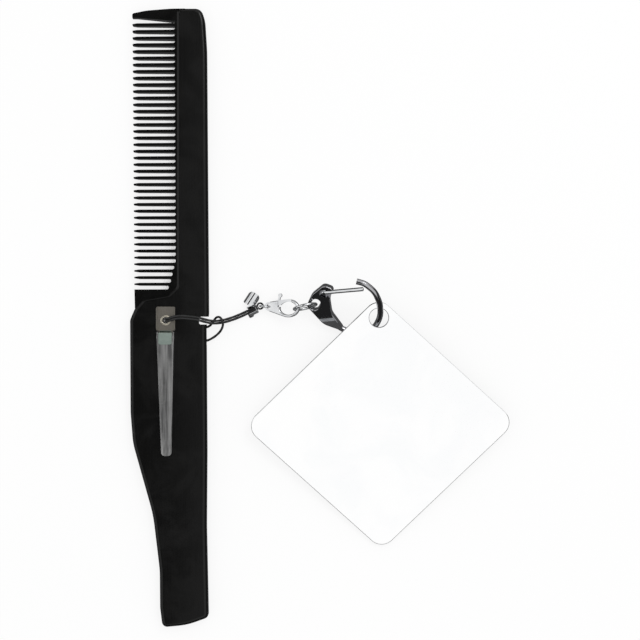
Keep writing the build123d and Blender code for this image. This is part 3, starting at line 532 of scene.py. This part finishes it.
@dataclass
class CordLoop:
    """The cord: from the crimp to the eyelet, along the back, round itself in a hitch, and back.

    Attributes:
        diameter: the cord's diameter.
        length: its length along its middle line; not used.
        sides: faces round the tube.
        step: the tube's length between two rings.
        braid_rise: how far the threads stand out, as a share of the radius.
        braid_pitch: the braid's length for one turn of a thread.
        threads: threads in each direction.
        curve_steps: points read between two of the route's points.
        curve_order: the order of the route's spline.
        route: the points that pull on the cord's middle line, in millimetres.
    """

    diameter: float = 0.74 * MM
    length: float = 109.06 * MM
    sides: int = 18
    step: float = 0.09 * MM
    braid_rise: float = 0.05
    braid_pitch: float = 2.6 * MM
    threads: int = 4
    curve_steps: int = 24
    curve_order: int = 3
    route: list[Point] = field(default_factory=lambda: [
        (-21.16, 2.86, 1.27),
        (-22.58, 2.15, 1.0),
        (-24.45, 1.3, 0.86),
        (-26.19, 0.55, 1.2),
        (-28.02, -0.11, 1.95),
        (-30.02, -0.69, 2.86),
        (-32.64, -1.0, 3.73),
        (-34.91, -0.59, 4.31),
        (-37.37, 0.16, 4.465),
        (-40.41, 0.52, 4.41),
        (-42.85, 0.69, 4.72),
        (-44.5, 0.5, 5.86),
        (-46.28, -0.07, 6.05),
        (-47.4, -0.35, 4.95),
        (-47.44, -0.35, 3.1),
        (-47.36, -0.35, 1.35),
        (-46.35, -0.42, 0.42),
        (-44.5, -0.68, 0.4),
        (-41.0, -1.55, 0.42),
        (-37.6, -2.62, 0.46),
        (-35.35, -3.02, 0.74),
        (-33.9, -2.3, 1.2),
        (-32.95, -0.95, 1.75),
        (-32.15, 0.1, 2.7),
        (-31.25, 0.42, 3.85),
        (-30.3, -0.15, 4.52),
        (-29.85, -1.35, 4.42),
        (-29.95, -2.65, 3.7),
        (-30.65, -3.95, 2.75),
        (-31.75, -5.1, 1.85),
        (-33.2, -6.15, 1.1),
        (-35.1, -7.1, 0.6),
        (-37.35, -7.05, 0.42),
        (-40.6, -5.05, 0.44),
        (-44.0, -2.55, 0.41),
        (-46.5, -1.13, 0.41),
        (-47.36, -1.11, 1.37),
        (-47.44, -1.11, 3.12),
        (-47.36, -1.11, 4.97),
        (-46.06, -0.79, 6.05),
        (-44.36, -0.24, 5.86),
        (-42.83, -0.07, 4.72),
        (-40.49, -0.24, 4.41),
        (-37.53, -0.58, 4.465),
        (-35.09, -1.33, 4.31),
        (-32.66, -1.76, 3.73),
        (-29.88, -1.43, 2.86),
        (-27.78, -0.83, 1.95),
        (-25.91, -0.15, 1.2),
        (-24.15, 0.6, 0.86),
        (-22.26, 1.47, 1.0),
        (-20.82, 2.18, 1.27),
    ])

    def middle_line(self) -> list[Vector]:
        """Points read from the route's smooth spline, evenly spaced."""
        curve = bpy.data.curves.new("cord_route", "CURVE")
        curve.dimensions = "3D"
        curve.resolution_u = self.curve_steps
        spline = curve.splines.new("NURBS")
        spline.points.add(len(self.route) - 1)
        for point, place in zip(spline.points, self.route):
            point.co = (*(MM * value for value in place), 1.0)
        spline.order_u = self.curve_order
        spline.use_endpoint_u = True
        holder = bpy.data.objects.new("cord_route", curve)
        bpy.context.scene.collection.objects.link(holder)
        bpy.context.view_layer.update()
        line = bpy.data.meshes.new_from_object(holder)
        points = [vertex.co.copy() for vertex in line.vertices]
        bpy.data.objects.remove(holder)
        bpy.data.meshes.remove(line)
        return self.evenly(points)

    def evenly(self, points: list[Vector]) -> list[Vector]:
        """Spaces the points one step apart along their line."""
        lengths = [0.0]
        for before, after in zip(points, points[1:]):
            lengths.append(lengths[-1] + (after - before).length)
        count = round(lengths[-1] / self.step)
        placed = []
        reached = 0
        for index in range(count + 1):
            along = lengths[-1] * index / count
            while reached < len(points) - 2 and lengths[reached + 1] < along:
                reached += 1
            span = lengths[reached + 1] - lengths[reached]
            share = (along - lengths[reached]) / span if span else 0.0
            placed.append(points[reached].lerp(points[reached + 1], share))
        return placed

    def radius_at(self, turn: float, along: float) -> float:
        """The braid's radius: threads wind both ways and pass over each other."""
        phase = 2 * math.pi * along / self.braid_pitch
        one_way = math.cos(self.threads * turn + phase)
        other_way = math.cos(self.threads * turn - phase)
        return self.diameter / 2 * (1 - self.braid_rise * (1 - max(one_way, other_way)))

    def build(self) -> list[bpy.types.Object]:
        """Makes the braided tube along the route, dresses it, hangs it on the comb's body and hides
        the CAD cord.
        """
        line = self.middle_line()
        vertices: list[Vector] = []
        across = Vector((0.0, 0.0, 1.0))
        for index, place in enumerate(line):
            ahead = line[min(index + 1, len(line) - 1)] - line[max(index - 1, 0)]
            ahead.normalize()
            across = (across - ahead * across.dot(ahead)).normalized()
            other = ahead.cross(across)
            for side in range(self.sides):
                turn = 2 * math.pi * side / self.sides
                reach = self.radius_at(turn, index * self.step)
                vertices.append(place + reach * (math.cos(turn) * across + math.sin(turn) * other))
        faces = []
        for ring in range(len(line) - 1):
            for side in range(self.sides):
                beside = (side + 1) % self.sides
                start = ring * self.sides
                further = start + self.sides
                faces.append((start + side, start + beside, further + beside, further + side))
        faces.append(tuple(reversed(range(self.sides))))
        faces.append(tuple(range(len(vertices) - self.sides, len(vertices))))
        mesh = bpy.data.meshes.new("cord_braid")
        mesh.from_pydata(vertices, [], faces)
        layer = mesh.uv_layers.new(name="UVMap")
        for polygon in mesh.polygons:
            for loop in polygon.loop_indices:
                ring, side = divmod(mesh.loops[loop].vertex_index, self.sides)
                if side == 0 and polygon.index % self.sides == self.sides - 1:
                    side = self.sides
                layer.data[loop].uv = (side / self.sides, ring * self.step / MM)
        mesh.polygons.foreach_set("use_smooth", [True] * len(mesh.polygons))
        mesh.update()
        piece = bpy.data.objects.new("cord_braid", mesh)
        bpy.context.scene.collection.objects.link(piece)
        dress(piece, CORD_BLACK)
        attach(piece, "comb")
        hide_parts("cord")
        return [piece]


@dataclass
class Chain:
    """The crimp, the jump ring, the clasp with its lever, and the link ring."""

    def build(self) -> list[bpy.types.Object]:
        """Dresses the chain's pieces."""
        names = [
            "cord_crimp",
            "jump_ring",
            "clasp_body",
            "clasp_lever",
            "clasp_pin",
            "clasp_spring",
            "link_ring",
        ]
        for name in names:
            dress(node(name), CHAIN_CHROME)
        return [node(name) for name in names]


@dataclass
class SnapHook:
    """The snap hook with its sprung gate."""

    def build(self) -> list[bpy.types.Object]:
        """Dresses the hook's pieces."""
        finishes = {
            "hook_body": HOOK_SHADED_CHROME,
            "hook_gate": CHAIN_CHROME,
            "hook_gate_pin": CHAIN_CHROME,
            "hook_spring": CHAIN_CHROME,
        }
        for name, finish in finishes.items():
            dress(node(name), finish)
        return [node(name) for name in finishes]


@dataclass
class HangingMirror:
    """The mirror on the hook."""

    def build(self) -> list[bpy.types.Object]:
        """Dresses the mirror."""
        dress(node("mirror"), MIRROR_FACE)
        return [node("mirror")]


@dataclass
class Studio:
    """The floor, the room's light, one soft lamp and the camera.

    Attributes:
        camera_height: the camera's height above the floor.
        middle_x: where it points, along X.
        middle_y: where it points, along Y.
        lens: its focal length in millimetres.
        sensor: its sensor's width in millimetres.
        nearest: the least distance that it shows.
        floor_side: the floor's side.
        floor_colour: the floor's colour in the room's light.
        floor_own_light: the share of the floor's look that is its own even white.
        floor_gain: the strength of that white.
        floor_in_metal: the strength of the floor where metal or plastic reflects it.
        painted_shade_reach: how far round a point the floor looks for walls, for its painted shade.
        painted_shade_samples: how many times it looks.
        painted_shade_black: the open share at and below which the painted shade makes the floor's own
            white black.
        painted_shade_clear: the open share from which the floor's own white has no painted shade.
        fill_strength: the room's light on rough surfaces.
        band_bottom: the height of the dark band's lower edge in the sky, from 0 to 1.
        band_top: the height of its upper edge.
        band_light: the band's strength.
        flag_light: the flag's strength.
        flag_left: the flag's soft left edge, as X over Z.
        flag_right: its soft right edge, as X over Z.
        flag_ends: its soft ends, as Y over Z.
        window_turns: the directions of two bright windows in the band, in degrees from +X.
        window_edge: a window's soft edge, as the cosine of the angle from its middle.
        least_height: the height in the sky under which X over Z stops growing.
        lamp_place: the lamp's place.
        lamp_side: its side.
        lamp_watts: its power.
    """

    camera_height: float = 433 * MM
    middle_x: float = -0.15 * MM
    middle_y: float = -0.62 * MM
    lens: float = 78.75
    sensor: float = 36.0
    nearest: float = 5 * MM
    floor_side: float = 6.0
    floor_colour: Colour = (0.86, 0.86, 0.86)
    floor_own_light: float = 0.8
    floor_gain: float = 1.04
    floor_in_metal: float = 0.1
    painted_shade_reach: float = 4 * MM
    painted_shade_samples: int = 16
    painted_shade_black: float = 0.03
    painted_shade_clear: float = 0.12
    fill_strength: float = 0.8
    band_bottom: float = 0.42
    band_top: float = 0.62
    band_light: float = 0.03
    flag_light: float = 0.02
    flag_left: tuple[float, float] = (-0.5, -0.38)
    flag_right: tuple[float, float] = (-0.095, -0.055)
    flag_ends: tuple[float, float] = (0.8, 1.1)
    window_turns: tuple[float, float] = (62.0, 175.0)
    window_edge: tuple[float, float] = (0.72, 0.86)
    least_height: float = 0.001
    lamp_place: Point = (0.35, 0.45, 0.75)
    lamp_side: float = 0.35
    lamp_watts: float = 1.5

    def build(self) -> None:
        """Sets up everything that isn't part of the object."""
        self.add_floor()
        self.set_world()
        self.add_lamp()
        self.add_camera()
        bpy.context.scene.view_settings.view_transform = "Standard"

    def add_floor(self) -> None:
        """Adds a pale floor, which shows white to the camera and keeps a faint shadow, and whose own
        white is dimmed by painted shade where the object closes round it.
        """
        deselect_all()
        bpy.ops.mesh.primitive_plane_add(size=self.floor_side, location=(0, 0, 0))
        floor = bpy.context.active_object
        floor.name = "floor"
        paper = bpy.data.materials.new("white_paper")
        paper.use_nodes = True
        board = Board(paper.node_tree)
        light = board.add("ShaderNodeLightPath")
        seen, through = light.outputs["Is Camera Ray"], light.outputs["Is Transmission Ray"]
        direct = board.maths("ADD", seen, through, clamp=True)
        direct = board.maths("MULTIPLY", direct, self.floor_own_light)
        share = board.maths("ADD", direct, light.outputs["Is Glossy Ray"], clamp=True)
        dimming = 1.0 - self.floor_in_metal
        dimming = board.maths("MULTIPLY", light.outputs["Is Glossy Ray"], dimming)
        # Painted shade: ambient occlusion dims the floor's own white to black where walls close round
        # it, as under the eyelet's bore.
        painted_shade_ao = board.add(
            "ShaderNodeAmbientOcclusion",
            {"Distance": self.painted_shade_reach},
            samples=self.painted_shade_samples,
        )
        painted_shade_dimmer = board.ramp(painted_shade_ao.outputs["AO"], self.painted_shade_black, self.painted_shade_clear)
        gain = board.maths("SUBTRACT", self.floor_gain, dimming)
        strength = board.maths("MULTIPLY", painted_shade_dimmer, gain)
        plain = board.add("ShaderNodeBsdfDiffuse", {"Color": rgba(self.floor_colour)})
        bright = board.add("ShaderNodeEmission", {"Color": rgba(WHITE), "Strength": strength})
        both = board.add(
            "ShaderNodeMixShader",
            {0: share, 1: plain.outputs[0], 2: bright.outputs[0]},
        )
        board.add("ShaderNodeOutputMaterial", {"Surface": both.outputs[0]})
        floor.data.materials.append(paper)

    def set_world(self) -> None:
        """A white room with a dark band low down all round, and a dark flag over the comb.

        The band and the flag are what the black plastic and the metal reflect. The camera sees white.
        """
        world = bpy.data.worlds.new("studio")
        bpy.context.scene.world = world
        world.use_nodes = True
        board = Board(world.node_tree)
        ray = board.add("ShaderNodeTexCoord").outputs["Generated"]
        parts = board.add("ShaderNodeSeparateXYZ", {0: ray})
        above = board.maths("MAXIMUM", parts.outputs[2], self.least_height)
        sideways = board.maths("DIVIDE", parts.outputs[0], above)
        lengthways = board.maths("ABSOLUTE", board.maths("DIVIDE", parts.outputs[1], above))
        windows: Any = 0.0
        for turn in self.window_turns:
            facing = board.maths("MULTIPLY", parts.outputs[0], math.cos(math.radians(turn)))
            other = board.maths("MULTIPLY", parts.outputs[1], math.sin(math.radians(turn)))
            window = board.ramp(board.maths("ADD", facing, other), *self.window_edge)
            windows = board.maths("MAXIMUM", window, windows)
        low = board.maths("MAXIMUM", windows, self.band_light)
        high = board.ramp(parts.outputs[2], self.band_bottom, self.band_top)
        band = board.maths("MAXIMUM", low, high)
        left = board.ramp(sideways, *self.flag_left)
        right = board.ramp(sideways, *self.flag_right, 1.0, 0.0)
        ends = board.ramp(lengthways, *self.flag_ends, 1.0, 0.0)
        flag = board.maths("MULTIPLY", board.maths("MULTIPLY", left, right), ends)
        shade = board.maths("MULTIPLY", flag, 1.0 - self.flag_light)
        open_sky = board.maths("SUBTRACT", 1.0, shade)
        room = board.maths("MULTIPLY", band, open_sky)
        path = board.add("ShaderNodeLightPath")
        change = board.maths("SUBTRACT", self.fill_strength, room)
        change = board.maths("MULTIPLY", path.outputs["Is Diffuse Ray"], change)
        lit = board.maths("ADD", room, change)
        strength = board.maths("MAXIMUM", lit, path.outputs["Is Camera Ray"])
        sky = board.add("ShaderNodeBackground", {"Color": rgba(WHITE), "Strength": strength})
        board.add("ShaderNodeOutputWorld", {"Surface": sky.outputs[0]})

    def add_lamp(self) -> None:
        """Adds one soft lamp above and behind, pointed at the object."""
        deselect_all()
        bpy.ops.object.light_add(type="AREA", location=self.lamp_place)
        lamp = bpy.context.active_object
        lamp.name = "soft_lamp"
        lamp.data.shape = "SQUARE"
        lamp.data.size = self.lamp_side
        lamp.data.energy = self.lamp_watts
        lamp.rotation_euler = Vector(self.lamp_place).to_track_quat("Z", "Y").to_euler()

    def add_camera(self) -> None:
        """Adds the camera, straight above the floor, with the photograph's view."""
        deselect_all()
        bpy.ops.object.camera_add(location=(self.middle_x, self.middle_y, self.camera_height))
        camera = bpy.context.active_object
        camera.rotation_euler = (0, 0, 0)
        camera.data.lens = self.lens
        camera.data.sensor_width = self.sensor
        camera.data.clip_start = self.nearest
        bpy.context.scene.camera = camera


def main() -> None:
    """Builds the sub-assemblies in order, then the studio round them."""
    logging.basicConfig(level=logging.INFO, format="%(name)s: %(message)s")
    for assembly in (Comb(), PocketClip(), CordLoop(), Chain(), SnapHook(), HangingMirror()):
        for piece in assembly.build():
            log.info("%s: %s", type(assembly).__name__, piece.name)
    Studio().build()


if __name__ == "__main__":
    main()
